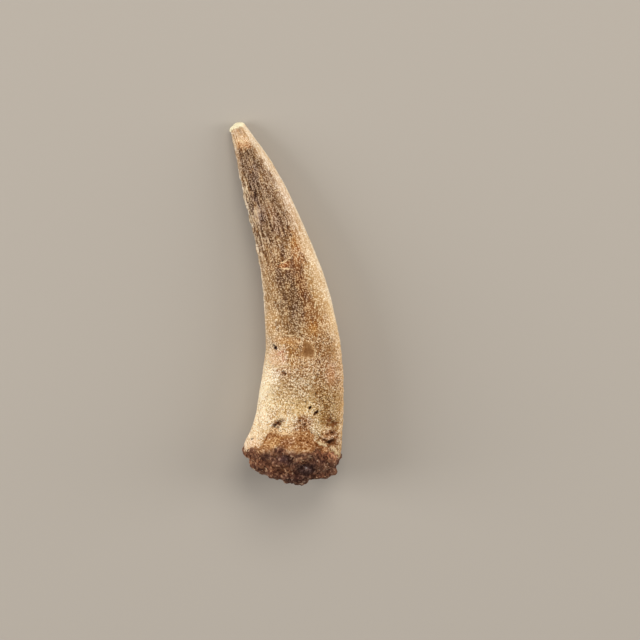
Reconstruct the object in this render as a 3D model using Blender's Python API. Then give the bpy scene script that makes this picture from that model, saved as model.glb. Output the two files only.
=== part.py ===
"""A fossil plesiosaur tooth, lying on its side, with hardened sediment on its broken root end.

Two pieces: the tooth, which is crown and root grown as one, and the matrix, a lump of cemented
sediment in and over the open end of the root. The tip points along +Y and the crown curves
towards -X. Both pieces lie on the plane Z = 0, so +Z is the upper side. Lengths here are
millimetres until a vertex is made, where MM turns them into Blender's metres.
"""

import math

import bmesh
import bpy
from mathutils import Matrix, Vector, noise

MM = 0.001

# Driving dimensions. Each row is one section of the tooth: how far along Y its middle lies,
# how far along X, its width across the curve, and its thickness from the floor up.
SECTIONS = [
    (2.6, -0.10, 12.4, 10.6),
    (5.3, -0.05, 12.9, 11.0),
    (7.1, 0.40, 12.3, 10.8),
    (9.3, 0.80, 11.7, 10.4),
    (12.0, 0.98, 11.4, 10.0),
    (15.0, 1.22, 10.8, 9.6),
    (19.0, 1.22, 9.85, 9.0),
    (25.0, 0.47, 8.65, 8.0),
    (31.4, -1.06, 7.35, 6.8),
    (37.8, -3.37, 5.75, 5.3),
    (43.0, -5.42, 4.00, 3.8),
    (47.45, -7.42, 1.90, 1.8),
]
TIP_LEAN = math.radians(25.0)  # the middle line is straight as far as LEAN_FROM, then leans
LEAN_FROM = 14.0
LEAN_POWER = 0.8
TIP_LIFT = 0.35  # the slender tip stands this far clear of the floor
TIP_LIFT_FROM = 34.0
REST_FLAT = 0.12  # how much of the round underside is worn flat where it rests
SQUARENESS = 2.15  # 2 is an ellipse; a little more fills its corners

# The worn tip: (share of the last section, height above it), then the height of its middle.
TIP_RINGS = [(0.82, 0.22), (0.45, 0.34)]
TIP_HEIGHT = 0.36

# The mesh: points round a section, and the step between sections.
TOOTH_SIDES = 60
TOOTH_STEP = 0.80
MATRIX_SIDES = 64

# Crown ridges, one every other point round. They rise and fade between these heights, and
# stand highest on the inner side of the curve.
RIDGE_HEIGHT = 0.08
RIDGES_RISE = (22.0, 31.0)
RIDGES_FADE = (38.0, 46.0)
OUTER_RIDGES = 0.35  # height of the ridges on the outer side, as a share of the inner ones
INNER_SIDE = (-0.3, 0.8)  # how squarely a point faces -X where inner ridges begin and are full

# The edge where matrix meets tooth, as a height that goes up and down round the root.
RIM_HEIGHT = 5.3
RIM_SWING = 0.75
RIM_RAGGED = 0.5
RIM_WAVES = 3.0  # more makes the raggedness finer
RIM_FADE = 5.0  # sections this far above the rim are level again
SEAT_DEPTH = 1.3  # the hollow in the end of the root that the matrix fills
SEAT_RINGS = (0.35, 0.7)  # the hollow's rings, as shares of the root's section
GAP = 0.3  # clearance between the two solids

# The matrix: how proud of the tooth it stands, and the ragged face that it ends in. The face
# rises in a curve towards -X, in a slope towards +X and in a curve towards the upper and lower
# sides, from a nub a little off its middle. The wall tucks in under the root, most towards -X.
MATRIX_PROUD = 0.10
MATRIX_MIDDLE = 4.0
WALL_RINGS = 6
END_RINGS = 8
END_HEIGHT = 0.6
END_CURVE = 0.055
END_SLOPE = 0.22
END_DEPTH_CURVE = 0.05
NUB = (0.3, 0.4)  # X, and height above the middle of the section
NUB_WIDTH = 1.3
NUB_REACH = 0.6
TUCK = (1.25, 0.35)  # towards -X and towards +X
EDGE_ROUNDING = 0.3
LUMPS_FULL = 0.4  # the wall's lumps grow from its upper edge to this share of its height

# Relief: (size of the lumps, their height), coarse first, and a place in the noise. The crown
# takes over from the root between two heights, and its lumps end at the tip. Clots are rounded
# lumps packed together, raised from CLOT_EDGE inwards, a share of their size.
ROOT_LUMPS = [(4.5, 0.14), (1.6, 0.10)]
CROWN_LUMPS = [(6.0, 0.10), (2.2, 0.035)]
CROWN_RISE = (16.0, 24.0)
CROWN_FADE = (45.0, 47.0)
MATRIX_LUMPS = [(3.6, 0.40), (1.4, 0.22)]
ROOT_PLACE = (0, 0, 7)
CROWN_PLACE = (3, 0, 7)
MATRIX_PLACE = (11, 2, 5)
CLOT_SIZE = 1.5
CLOT_HEIGHT = 0.75
CLOT_EDGE = 0.45

# Pits: (X, Y, radius, depth), in the upper side and then in the lower side. A higher
# PIT_PROFILE makes them sharper.
PIT_PROFILE = 1.5
UPPER_PITS = [
    (4.95, 6.00, 0.95, 0.75),
    (5.35, 8.10, 0.75, 0.35),
    (-2.10, 8.30, 0.70, 0.42),
    (2.90, 9.90, 0.60, 0.28),
    (-2.40, 18.30, 0.42, 0.30),
]
LOWER_PITS = [
    (-3.60, 7.90, 0.80, 0.40),
    (4.10, 9.60, 0.70, 0.35),
    (3.60, 15.20, 0.55, 0.30),
]
# The stepped edge of the root's wall: its two ends in X and Y, its width and its height.
LEDGE_START = (3.6, 5.7)
LEDGE_END = (6.2, 3.9)
LEDGE_WIDTH = 0.8
LEDGE_HEIGHT = 0.30
LEDGE_FADE = 0.15  # share of its length over which its start dies away

SHARP_BREAK = math.radians(45.0)


def smooth(low, high, value):
    """0 below low, 1 above high, and an S-shaped rise between them."""
    t = min(1.0, max(0.0, (value - low) / (high - low)))
    return t * t * (3 - 2 * t)


def section_at(y):
    """Middle X, width and thickness at Y, on smooth curves through the driving sections."""
    last = len(SECTIONS) - 2
    i = max(0, min(last, sum(row[0] <= y for row in SECTIONS) - 1))
    before = SECTIONS[max(0, i - 1)]
    start, end = SECTIONS[i], SECTIONS[i + 1]
    after = SECTIONS[min(len(SECTIONS) - 1, i + 2)]
    span = end[0] - start[0]
    t = (y - start[0]) / span
    values = []
    for k in (1, 2, 3):
        slope_in = (end[k] - before[k]) / (end[0] - before[0]) * span
        slope_out = (after[k] - start[k]) / (after[0] - start[0]) * span
        values.append(
            (2 * t**3 - 3 * t**2 + 1) * start[k]
            + (t**3 - 2 * t**2 + t) * slope_in
            + (3 * t**2 - 2 * t**3) * end[k]
            + (t**3 - t**2) * slope_out
        )
    return values


def lean_at(y):
    """The angle by which the tooth's middle line leans from +Y towards -X."""
    share = max(0.0, (y - LEAN_FROM) / (SECTIONS[-1][0] - LEAN_FROM))
    return TIP_LEAN * share**LEAN_POWER


def rim_height(turn):
    """Where the matrix begins, at this turn round the root: highest above and below."""
    around = Vector((math.cos(turn), math.sin(turn), RIM_WAVES))
    raggedness = noise.noise(around * RIM_WAVES)
    return RIM_HEIGHT - RIM_SWING * math.cos(2 * turn) + RIM_RAGGED * raggedness


def section_point(y, turn, swell=0.0):
    """A point of the section at Y. Turn 0 is towards +X and a quarter turn is up, +Z."""
    middle_x, width, thickness = section_at(y)
    lean = lean_at(y)
    lift = TIP_LIFT * smooth(TIP_LIFT_FROM, SECTIONS[-1][0], y)
    middle_z = thickness / 2 - REST_FLAT + lift
    power = 2 / SQUARENESS
    across = math.copysign(abs(math.cos(turn)) ** power, math.cos(turn))
    up = math.copysign(abs(math.sin(turn)) ** power, math.sin(turn))
    across *= width / 2 + swell
    up *= thickness / 2 + swell
    return Vector((middle_x + across * math.cos(lean), y + across * math.sin(lean), middle_z + up))


def lumps(point, relief, place):
    """How far lumps of these sizes push the surface out at a point."""
    return sum(height * noise.noise((point + Vector(place)) / size) for size, height in relief)


def clots(point):
    """How far rounded lumps, packed together, push the surface out at a point."""
    nearest = noise.voronoi(point / CLOT_SIZE)[0][0]
    return CLOT_HEIGHT * (CLOT_EDGE - nearest)


def ridge(turn, y, point_index):
    """Crown ridges: every other point stands out, most on the inner side of the curve."""
    inner = OUTER_RIDGES + (1 - OUTER_RIDGES) * smooth(*INNER_SIDE, -math.cos(turn))
    length = smooth(*RIDGES_RISE, y) * (1 - smooth(*RIDGES_FADE, y))
    return RIDGE_HEIGHT * inner * length * (1 if point_index % 2 else -1)


def pit_depth(point, pits):
    """How deep these pits go at a point."""
    depth = 0.0
    for x, y, radius, deepest in pits:
        away = math.hypot(point.x - x, point.y - y) / radius
        depth += deepest * max(0.0, 1 - away * away) ** PIT_PROFILE
    return depth


def ledge_height(point):
    """The stepped edge of the root's wall, a low welt along a line."""
    start = Vector(LEDGE_START)
    along = Vector(LEDGE_END) - start
    offset = point.xy - start
    share = min(1.0, max(0.0, offset.dot(along) / along.length_squared))
    away = (offset - share * along).length / LEDGE_WIDTH
    return LEDGE_HEIGHT * max(0.0, 1 - away) * smooth(0.0, LEDGE_FADE, share)


def outward(middle, point):
    """Unit direction from a section's middle to one of its points."""
    return (point - middle).normalized()


def on_floor(point):
    """The point, or where it would sink into the floor, its place on the floor."""
    return Vector((point.x, point.y, max(0.0, point.z)))


def tooth_surface(y, index):
    """One point of the tooth, with its ridges, lumps, pits and ledge."""
    turn = 2 * math.pi * index / TOOTH_SIDES
    sag = rim_height(turn) - RIM_HEIGHT
    y = y + sag * (1 - smooth(0.0, RIM_FADE, y - RIM_HEIGHT))
    point = section_point(y, turn)
    middle = section_point(y, turn, -section_at(y)[2] / 2)
    crown = smooth(*CROWN_RISE, y)
    relief = lumps(point, ROOT_LUMPS, ROOT_PLACE) * (1 - crown)
    relief += lumps(point, CROWN_LUMPS, CROWN_PLACE) * crown * (1 - smooth(*CROWN_FADE, y))
    relief += ridge(turn, y, index)
    if math.sin(turn) > 0:
        relief += ledge_height(point) - pit_depth(point, UPPER_PITS)
    else:
        relief -= pit_depth(point, LOWER_PITS)
    return on_floor(point + outward(middle, point) * relief)


def ring_of(bm, points):
    """A closed ring of vertices and edges, made from points in millimetres."""
    verts = [bm.verts.new(point * MM) for point in points]
    return [bm.edges.new((a, b)) for a, b in zip(verts, verts[1:] + verts[:1])]


def skin_and_cap(bm, rings, caps):
    """Bridges each ring to the next, and closes both ends on the two cap points."""
    for low, high in zip(rings, rings[1:]):
        bmesh.ops.bridge_loops(bm, edges=low + high)
    for ring, cap in zip((rings[0], rings[-1]), caps):
        centre = bm.verts.new(cap * MM)
        for edge in ring:
            bm.faces.new((*edge.verts, centre))
    bmesh.ops.recalc_face_normals(bm, faces=bm.faces)
    bmesh.ops.triangulate(bm, faces=bm.faces, quad_method="SHORT_EDGE")


def finish(bm, name, material):
    """Makes the named object, shaded smooth except at sharp breaks."""
    mesh = bpy.data.meshes.new(name)
    bm.to_mesh(mesh)
    bm.free()
    mesh.materials.append(material)
    mesh.shade_smooth()
    mesh.set_sharp_from_angle(angle=SHARP_BREAK)
    made = bpy.data.objects.new(name, mesh)
    bpy.context.collection.objects.link(made)
    return made


def matt(name, colour, roughness):
    """A plain stony material."""
    material = bpy.data.materials.new(name)
    material.use_nodes = True
    shader = material.node_tree.nodes["Principled BSDF"]
    shader.inputs["Base Color"].default_value = (*colour, 1)
    shader.inputs["Roughness"].default_value = roughness
    shader.inputs["Metallic"].default_value = 0.0
    return material


def root_middle():
    """The middle of the root's broken end."""
    middle_x, _, thickness = section_at(RIM_HEIGHT)
    return Vector((middle_x, RIM_HEIGHT, thickness / 2))


def hollow(edge, share):
    """A ring of the root's hollow, which is its edge drawn in to this share of its size."""
    middle = root_middle()
    ring = []
    for point in edge:
        flat = Vector((point.x, middle.y + (point.y - middle.y) * share, point.z))
        ring.append(middle.lerp(flat, share) + Vector((0, SEAT_DEPTH * (1 - share**2), 0)))
    return ring


def make_tooth():
    """The tooth from its hollow root end to its blunt, worn tip."""
    bm = bmesh.new()
    tip = SECTIONS[-1][0]
    steps = round((tip - RIM_HEIGHT) / TOOTH_STEP)
    heights = [RIM_HEIGHT + (tip - RIM_HEIGHT) * step / steps for step in range(steps + 1)]
    outer = [[tooth_surface(y, i) for i in range(TOOTH_SIDES)] for y in heights]
    axis = Vector((-math.sin(lean_at(tip)), math.cos(lean_at(tip)), 0))
    middle = section_point(tip, 0, -section_at(tip)[1] / 2)
    seat = [hollow(outer[0], share) for share in SEAT_RINGS]
    cap = [
        [middle.lerp(point, share) + axis * height for point in outer[-1]]
        for share, height in TIP_RINGS
    ]
    rings = [ring_of(bm, points) for points in seat + outer + cap]
    ends = (root_middle() + Vector((0, SEAT_DEPTH, 0)), middle + axis * TIP_HEIGHT)
    skin_and_cap(bm, rings, ends)
    return finish(bm, "tooth", matt("fossil_tooth", (0.43, 0.28, 0.15), 0.62))


def end_face_height(x, z):
    """Height of the ragged end face at X and Z."""
    away = x - NUB[0]
    rise = END_CURVE * away * away if away < 0 else END_SLOPE * away
    up = z - root_middle().z
    nub = NUB_REACH * math.exp(-((math.hypot(away, up - NUB[1]) / NUB_WIDTH) ** 4))
    return END_HEIGHT + rise + END_DEPTH_CURVE * up * up - nub


def matrix_wall(index, share):
    """A point of the matrix's outer wall: share 0 at its upper edge and 1 at the end face."""
    turn = 2 * math.pi * index / MATRIX_SIDES
    top = rim_height(turn) - GAP
    rim = section_point(RIM_HEIGHT, turn)
    bottom = end_face_height(rim.x, rim.z) + EDGE_ROUNDING
    tuck = TUCK[0] + (TUCK[1] - TUCK[0]) * smooth(-1.0, 1.0, math.cos(turn))
    point = section_point(RIM_HEIGHT, turn, MATRIX_PROUD - tuck * share**2)
    return Vector((point.x, top + (bottom - top) * share, point.z))


def matrix_surface(point, strength=1.0):
    """A point pushed out or in by the matrix's lumps and clots."""
    middle = root_middle()
    middle.y = MATRIX_MIDDLE
    relief = lumps(point, MATRIX_LUMPS, MATRIX_PLACE) + clots(point)
    return on_floor(point + outward(middle, point) * relief * strength)


def make_matrix():
    """The lump of cemented sediment: a plug in the root's hollow, a wall and a ragged end."""
    bm = bmesh.new()
    middle = root_middle()
    sides = range(MATRIX_SIDES)
    edge = [on_floor(matrix_wall(i, 0.0)) for i in sides]
    foot = [matrix_wall(i, 1.0) for i in sides]
    gap = Vector((0, GAP, 0))
    seat_edge = [point + gap for point in edge]
    plug = [[point - gap for point in hollow(seat_edge, share)] for share in SEAT_RINGS]
    wall = [edge]
    for step in range(1, WALL_RINGS + 1):
        share = step / WALL_RINGS
        strength = smooth(0.0, LUMPS_FULL, share)
        wall.append([matrix_surface(matrix_wall(i, share), strength) for i in sides])
    end = []
    for step in range(1, END_RINGS):
        share = 1 - step / END_RINGS
        ring = []
        for point in foot:
            x = middle.x + (point.x - middle.x) * share
            z = middle.z + (point.z - middle.z) * share
            ring.append(matrix_surface(Vector((x, end_face_height(x, z), z))))
        end.append(ring)
    last = matrix_surface(Vector((middle.x, end_face_height(middle.x, middle.z), middle.z)))
    rings = [ring_of(bm, points) for points in plug + wall + end]
    skin_and_cap(bm, rings, (middle + Vector((0, SEAT_DEPTH - GAP, 0)), last))
    return finish(bm, "matrix", matt("matrix_sediment", (0.105, 0.052, 0.031), 0.92))


def main():
    for old in list(bpy.data.objects):
        bpy.data.objects.remove(old)
    pieces = [make_tooth(), make_matrix()]
    # The origin is the middle of the two pieces' footprint, on the floor.
    corners = [vert.co for piece in pieces for vert in piece.data.vertices]
    low = [min(co[axis] for co in corners) for axis in range(3)]
    high = [max(co[axis] for co in corners) for axis in range(3)]
    centre = Vector(((low[0] + high[0]) / 2, (low[1] + high[1]) / 2, low[2]))
    for piece in pieces:
        piece.data.transform(Matrix.Translation(-centre))


main()
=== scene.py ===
# A fossil plesiosaur tooth lying on its side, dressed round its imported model.
import math

import bpy
import numpy as np
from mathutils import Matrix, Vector, noise


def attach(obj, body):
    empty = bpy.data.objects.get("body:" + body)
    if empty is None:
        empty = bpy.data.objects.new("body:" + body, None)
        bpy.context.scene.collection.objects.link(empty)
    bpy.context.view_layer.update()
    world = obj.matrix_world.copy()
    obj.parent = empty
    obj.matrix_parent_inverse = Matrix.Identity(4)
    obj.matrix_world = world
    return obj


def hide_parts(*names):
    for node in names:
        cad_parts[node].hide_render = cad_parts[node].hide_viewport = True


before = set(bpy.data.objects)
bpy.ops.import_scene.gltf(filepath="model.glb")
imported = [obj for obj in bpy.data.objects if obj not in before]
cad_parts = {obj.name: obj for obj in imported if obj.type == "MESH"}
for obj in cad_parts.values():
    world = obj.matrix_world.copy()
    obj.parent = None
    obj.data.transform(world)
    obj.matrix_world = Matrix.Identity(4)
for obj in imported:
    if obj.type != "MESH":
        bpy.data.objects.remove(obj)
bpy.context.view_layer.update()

print("frame loaded:", ", ".join(sorted(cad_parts)))

mm = 0.001
# Y along the tooth, X of its middle, its width and its thickness, in millimetres
sections = [
    (2.6, -0.1, 12.4, 10.6),
    (5.3, -0.05, 12.9, 11),
    (7.1, 0.4, 12.3, 10.8),
    (9.3, 0.8, 11.7, 10.4),
    (12, 0.98, 11.4, 10),
    (15, 1.22, 10.8, 9.6),
    (19, 1.22, 9.85, 9),
    (25, 0.47, 8.65, 8),
    (31.4, -1.06, 7.35, 6.8),
    (37.8, -3.37, 5.75, 5.3),
    (43, -5.42, 4, 3.8),
    (47.45, -7.42, 1.9, 1.8),
]
body = {
    "origin": (-0.776, 24.036, 0),  # where the frame's origin lies among these measures
    "tipLean": math.radians(25),  # the middle line is straight as far as leanFrom, then leans
    "leanFrom": 14,
    "leanPower": 0.8,
    "tipLift": 0.35,  # the slender tip stands this far clear of the floor
    "tipLiftFrom": 34,
    "restFlat": 0.12,  # how much of the round underside is worn flat
    "squareness": 2.15,  # 2 is an ellipse
    "tableSteps": 700,
    "unbendRounds": 8,
    "straightRadius": 4,
    "ragged": (0.55, 0.28),  # sizes of the noise that frays the edges of pits and rims
}
origin = np.array(body["origin"])
tipY = sections[-1][0]


def smooth(low, high, value):
    t = np.clip((value - low) / (high - low), 0.0, 1.0)
    return t * t * (3 - 2 * t)


def sectionAt(y):
    # middle X, width and thickness on smooth curves through the sections
    last = len(sections) - 2
    i = max(0, min(last, sum(row[0] <= y for row in sections) - 1))
    before, start, end = sections[max(0, i - 1)], sections[i], sections[i + 1]
    after = sections[min(len(sections) - 1, i + 2)]
    span = end[0] - start[0]
    t = (y - start[0]) / span
    values = []
    for k in (1, 2, 3):
        slopeIn = (end[k] - before[k]) / (end[0] - before[0]) * span
        slopeOut = (after[k] - start[k]) / (after[0] - start[0]) * span
        values.append(
            (2 * t**3 - 3 * t**2 + 1) * start[k] + (t**3 - 2 * t**2 + t) * slopeIn
            + (3 * t**2 - 2 * t**3) * end[k] + (t**3 - t**2) * slopeOut
        )
    return values


tableY = np.linspace(sections[0][0], tipY, body["tableSteps"])
tableX, tableWidth, tableThick = np.array([sectionAt(y) for y in tableY]).T


def middleX(y):
    return np.interp(y, tableY, tableX)


def widthAt(y):
    return np.interp(y, tableY, tableWidth)


def thicknessAt(y):
    return np.interp(y, tableY, tableThick)


def leanAt(y):
    share = np.clip((y - body["leanFrom"]) / (tipY - body["leanFrom"]), 0.0, 1.0)
    return body["tipLean"] * share ** body["leanPower"]


def middleZ(y):
    lift = body["tipLift"] * smooth(body["tipLiftFrom"], tipY, y)
    return thicknessAt(y) / 2 - body["restFlat"] + lift


def unbend(points):
    # how far across, up from and along the bent middle line each point lies
    along = points[:, 1].copy()
    for _ in range(body["unbendRounds"]):
        lean = leanAt(along)
        across = (points[:, 0] - middleX(along)) / np.cos(lean)
        along = points[:, 1] - across * np.sin(lean)
    return across, points[:, 2] - middleZ(along), along


def bend(across, up, along):
    lean = leanAt(along)
    return np.column_stack([
        middleX(along) + across * np.cos(lean),
        along + across * np.sin(lean),
        middleZ(along) + up,
    ])


def noiseField(points, size, place=(0.0, 0.0, 0.0)):
    scaled = (points + np.array(place)) / size
    return np.array([noise.noise(p) for p in scaled.tolist()])


def cellField(points, size, place=(0.0, 0.0, 0.0)):
    # distance to the nearest cell centre, in cell sizes
    scaled = (points + np.array(place)) / size
    return np.array([noise.voronoi(p)[0][0] for p in scaled.tolist()])


def clods(points, size, place, edge):
    # rounded heaps, one in each cell, that meet in creases this far from their middles
    return 0.8 - 4 * np.minimum(cellField(points, size, place), edge) ** 2


def raggedNoise(points):
    large, small = body["ragged"]
    return noiseField(points, large, (5, 5, 5)) + 0.6 * noiseField(points, small, (2, 5, 8))


def lumpsOf(points, lumps, place):
    return sum(tall * noiseField(points, size, place) for size, tall in lumps)


def getPoints(piece):
    values = np.empty(len(piece.data.vertices) * 3)
    piece.data.vertices.foreach_get("co", values)
    return values.reshape(-1, 3) / mm + origin


def setPoints(piece, points):
    piece.data.vertices.foreach_set("co", ((points - origin) * mm).ravel())
    piece.data.update()


def getNormals(piece):
    values = np.empty(len(piece.data.vertices) * 3)
    piece.data.vertex_normals.foreach_get("vector", values)
    return values.reshape(-1, 3)


def keepAttribute(piece, name, values, kind="FLOAT"):
    field = "vector" if kind == "FLOAT_VECTOR" else "value"
    attribute = piece.data.attributes.new(name, kind, "POINT")
    attribute.data.foreach_set(field, np.asarray(values, np.float32).ravel())


def keepUnbent(piece, turn, along):
    # the place on the tooth drawn out straight, round it and along it, for streaks that follow it
    radius = body["straightRadius"]
    places = np.column_stack([np.cos(turn) * radius, np.sin(turn) * radius, along])
    keepAttribute(piece, "unbent", places, "FLOAT_VECTOR")


def toWorld(x, y, z):
    return tuple((np.array([x, y, z]) - origin) * mm)


def stackRings(name, corners, rings):
    # a circle at the first ring, and one extrusion for each ring after it
    bpy.ops.object.select_all(action="DESELECT")
    x, y, z, width, thickness = rings[0]
    bpy.ops.mesh.primitive_circle_add(
        vertices=corners, radius=0.5 * mm, fill_type="NGON",
        location=toWorld(x, y, z), rotation=(math.pi / 2, 0, 0),
    )
    piece = bpy.context.object
    piece.name = piece.data.name = name
    bpy.ops.object.transform_apply(location=True, rotation=True, scale=True)
    bpy.ops.object.mode_set(mode="EDIT")
    bpy.ops.mesh.select_all(action="SELECT")
    bpy.ops.transform.resize(value=(width, 1, thickness), center_override=toWorld(x, y, z))
    for ring in rings[1:]:
        step = tuple((np.array(ring[:3]) - np.array((x, y, z))) * mm)
        change = (ring[3] / width, 1, ring[4] / thickness)
        x, y, z, width, thickness = ring
        bpy.ops.mesh.extrude_region_move(TRANSFORM_OT_translate={"value": step})
        bpy.ops.transform.resize(value=change, center_override=toWorld(x, y, z))
    bpy.ops.mesh.select_all(action="SELECT")
    bpy.ops.mesh.normals_make_consistent(inside=False)
    bpy.ops.object.mode_set(mode="OBJECT")
    return piece


def applyModifier(piece, kind, **settings):
    bpy.context.view_layer.objects.active = piece
    modifier = piece.modifiers.new(kind.lower(), kind)
    for name, value in settings.items():
        setattr(modifier, name, value)
    bpy.ops.object.modifier_apply(modifier=modifier.name)


def outlineScale(across, up, half, rise):
    # what brings a point here onto an outline with these half sizes
    power = body["squareness"]
    return (np.abs(across / half) ** power + np.abs(up / rise) ** power) ** (-1 / power)


def onFloor(points, lowest=0.0):
    # nothing reaches below the floor
    points[:, 2] = np.maximum(points[:, 2], lowest)
    return points


tooth = {
    "corners": 14,
    "levels": 4,
    # Y of the rings that the tooth is drawn out through, close together where it is broken and worn
    "ringsAt": [2.65, 4.9, 7, 9.2, 11.2, 13.2, 15.3, 17.5, 19.8, 22.3, 24.9, 27.6, 30.4,
                33.3, 36.2, 39.0, 41.6, 43.8, 45.6, 46.7, 47.3],
    "tipLumps": [(0.7, 0.16), (0.3, 0.08)],
    "tipRings": [(0.98, -0.04), (0.86, 0.12), (0.5, 0.27)],  # share of the last ring, height above it
    "tipCap": (46.6, 47.2),  # the rings turn into the tip's cap between these
    "endCap": (3.3, 2.9),
    # Y, and how far the outline stands out there on the outer and the inner side of the curve
    "trim": [(6, 0, -0.03), (10, -0.04, -0.13), (14, -0.05, -0.15), (18, -0.02, -0.1),
             (22, 0, 0), (26, -0.06, 0), (29, -0.18, 0), (32, -0.25, 0),
             (35, -0.1, 0), (38, 0, 0.03), (42, 0.1, 0), (45, 0, 0),
             (46.6, 0, 0.04), (47.45, -0.1, 0.14)],
    "innerTaper": 0.8,  # the broken end narrows inside the sediment
    "taperBelow": (1.4, 0.3),  # this far below the sediment's edge
    "rootLumps": [(4.5, 0.14), (1.6, 0.1)],
    "crownLumps": [(6, 0.1), (2.2, 0.035)],
    "crownFrom": (16, 24),
    "tipFrom": (45, 47),
    "ridgeCount": 44,
    "ridgeHeight": 0.11,
    "outerRidges": 0.12,  # share of that height outside the curve
    "ridgesFrom": (20, 27),
    "ridgesTo": (42, 45.5),
    "ridgeDrift": 3,  # size of the noise that lets them wander
    "grain": [(0.55, 0.075), (0.34, 0.06)],  # size and height of the root's sandy grain
    "wear": [(0.6, 0.06), (0.32, 0.045)],  # the same for the crown's worn enamel
    "wearEdge": 1.5,  # size of the noise in its edge
    "pits": [  # X, Y, radius, depth, stretch, turn
        (5.2, 6.05, 0.9, 0.85, 0.5, 0.1),
        (4.5, 6.25, 0.46, 0.6, 0.6, 0.4),
        (5.85, 6.65, 0.34, 0.45, 0.6, 0.9),
        (3.62, 6.85, 0.46, 0.24, 0.3, -0.9),
        (5.35, 7.4, 0.6, 0.6, 0.6, -0.2),
        (4.62, 7.25, 0.34, 0.4, 0.6, 0.3),
        (5.45, 8.45, 0.74, 0.55, 0.62, 0.5),
        (4.85, 9.1, 0.42, 0.34, 0.6, 0.9),
        (4.35, 10.6, 0.34, 0.3, 0.5, 1.1),
        (3.08, 10.17, 0.42, 0.5, 0.42, 0.7),
        (2.26, 10.8, 0.38, 0.45, 0.4, 1),
        (3.55, 12.1, 0.26, 0.26, 0.5, 0.5),
        (-2.05, 8.75, 0.6, 0.24, 0.66, 0.5),
        (-2.28, 18.45, 0.32, 0.45, 1, 0),
        (-1.15, 15.3, 0.4, 0.28, 0.55, -0.45),
        (-5.35, 6.62, 0.26, 0.32, 0.55, 0.6),
        (3.3, 15.1, 0.26, 0.3, 0.6, 0.2),
        (0.75, 9, 0.34, 0.18, 0.6, 0.4),
        (1.45, 8.55, 0.4, 0.2, 0.55, 0.9),
        (2.2, 7.85, 0.45, 0.2, 0.32, -1),
        (2.75, 7.25, 0.4, 0.22, 0.3, -0.9),
    ],
    "hiddenPits": [  # on the underside
        (-3.6, 7.9, 0.6, 0.4, 0.7, 0.3), (4.1, 9.6, 0.5, 0.35, 0.6, 0.9), (3.6, 15.2, 0.4, 0.3, 0.8, 0),
    ],
    "flakes": 0.13,  # enamel left standing at the inner side of the crown
    "flakeSize": 0.9,
    "flakesFrom": (29, 32),
    "flakesTo": (43.5, 41),
    "poreSize": 0.8,
    "poreDepth": 0.07,
    "sandyPatches": 2.6,  # size of the patches of root that have pores
    "rimLines": [  # X and Y along the broken rims that stand above the sediment
        [(3.35, 6.25), (3.6, 6.05), (4.55, 5.8), (5.1, 5.45), (5.54, 5.0), (5.85, 4.4)],
        [(1.25, 5.75), (2.2, 5.25)],
    ],
    "rimWidth": 0.22,
    "rimHeight": 0.14,
    "lowest": 0.03,  # just inside the sediment, so that the two undersides don't coincide
    "deepPit": 0.42,  # depth and height that the paint takes as full
    "fullRelief": 0.11,
}

matrix = {
    "corners": 16,
    "levels": 2,
    "rootAt": 5.3,  # below this the root's section is taken to run on unchanged
    # Y, share of the root's section there, shift towards +X of its middle
    "rings": [(8.9, 0.8, 0), (8.4, 0.97, 0), (6.6, 1, 0), (5, 1, 0), (3.8, 1, 0.05),
              (2.6, 0.98, 0.2), (1.5, 0.94, 0.35), (0.75, 0.84, 0.45), (0.6, 0.55, 0.3)],
    "voxel": 0.078,
    # Y of the crust's edge at these turns round the root, 0 towards +X and 90 upwards
    "border": [(0, 4.1), (25, 4.6), (40, 5.2), (54, 5.95), (64, 6.85), (73, 7.6), (90, 7.95), (120, 7.95),
               (130, 7.75), (134, 5.6), (148, 5.35), (165, 5.1), (180, 4.95), (215, 5), (250, 5.9),
               (290, 5.3), (330, 4.4), (360, 4.1)],
    "borderRagged": [(1.5, 0.45), (0.5, 0.35), (0.22, 0.15)],
    "crust": 0.15,  # how thickly it lies on the root below its edge
    "lip": 0.09,  # and how much more at its edge
    "sunk": 0.35,  # how far it lies inside the root past its edge
    "proud": 0.1,  # how far the dark lump stands out from the root
    "lumpBelow": (5.9, 4),
    "tuck": (1.55, 0.95),  # how far the wall draws in at the broken end, inside and outside the curve
    "tuckPower": 2.3,
    "wallTop": 5,
    "wallFrom": (9, 8.6),  # the lump's hidden inner end stays as it is
    "endHeight": 0.6,
    "endAt": [(-6.3, 3.4), (-5.3, 2.6), (-4.2, 1.75), (-2.8, 1.1), (-1.45, 0.75), (0.4, 0.45), (2.6, 0.75),
              (3.4, 1.05), (4.6, 1.35), (5.4, 1.8), (6.3, 2.6)],  # X and Y of the broken end seen from above
    "endDepthCurve": 0.05,
    "nub": (0.45, 0.4),
    "nubWidth": 1.5,
    "nubReach": 0.7,
    "lumps": [(3.6, 0.34), (1.4, 0.3)],
    "clots": [(1.8, 0.34), (1, 0.12)],  # size and height of rounded clods
    "clotsBelow": (5.2, 3.6),
    "rootLumpsFrom": (3.8, 4.8),  # the crust follows the root's own lumps
    "grains": [(0.5, 0.05), (0.28, 0.034)],
    "dust": (0.17, 0.03),
    "grainOnCrust": 0.6,  # share of the grain's height there
    "grainBelow": (5.6, 4.4),
    "crustFrom": (4.6, 6.1),
    "crustEdge": 1.2,  # size of the noise in its edge
    "lipFrom": (6.4, 7),
    "fullRelief": (0.18, 0.4),  # heights of grain and of clods that the paint takes as full
}


def borderAt(turn):
    return np.interp(np.degrees(turn) % 360, *np.transpose(matrix["border"]))


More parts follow.
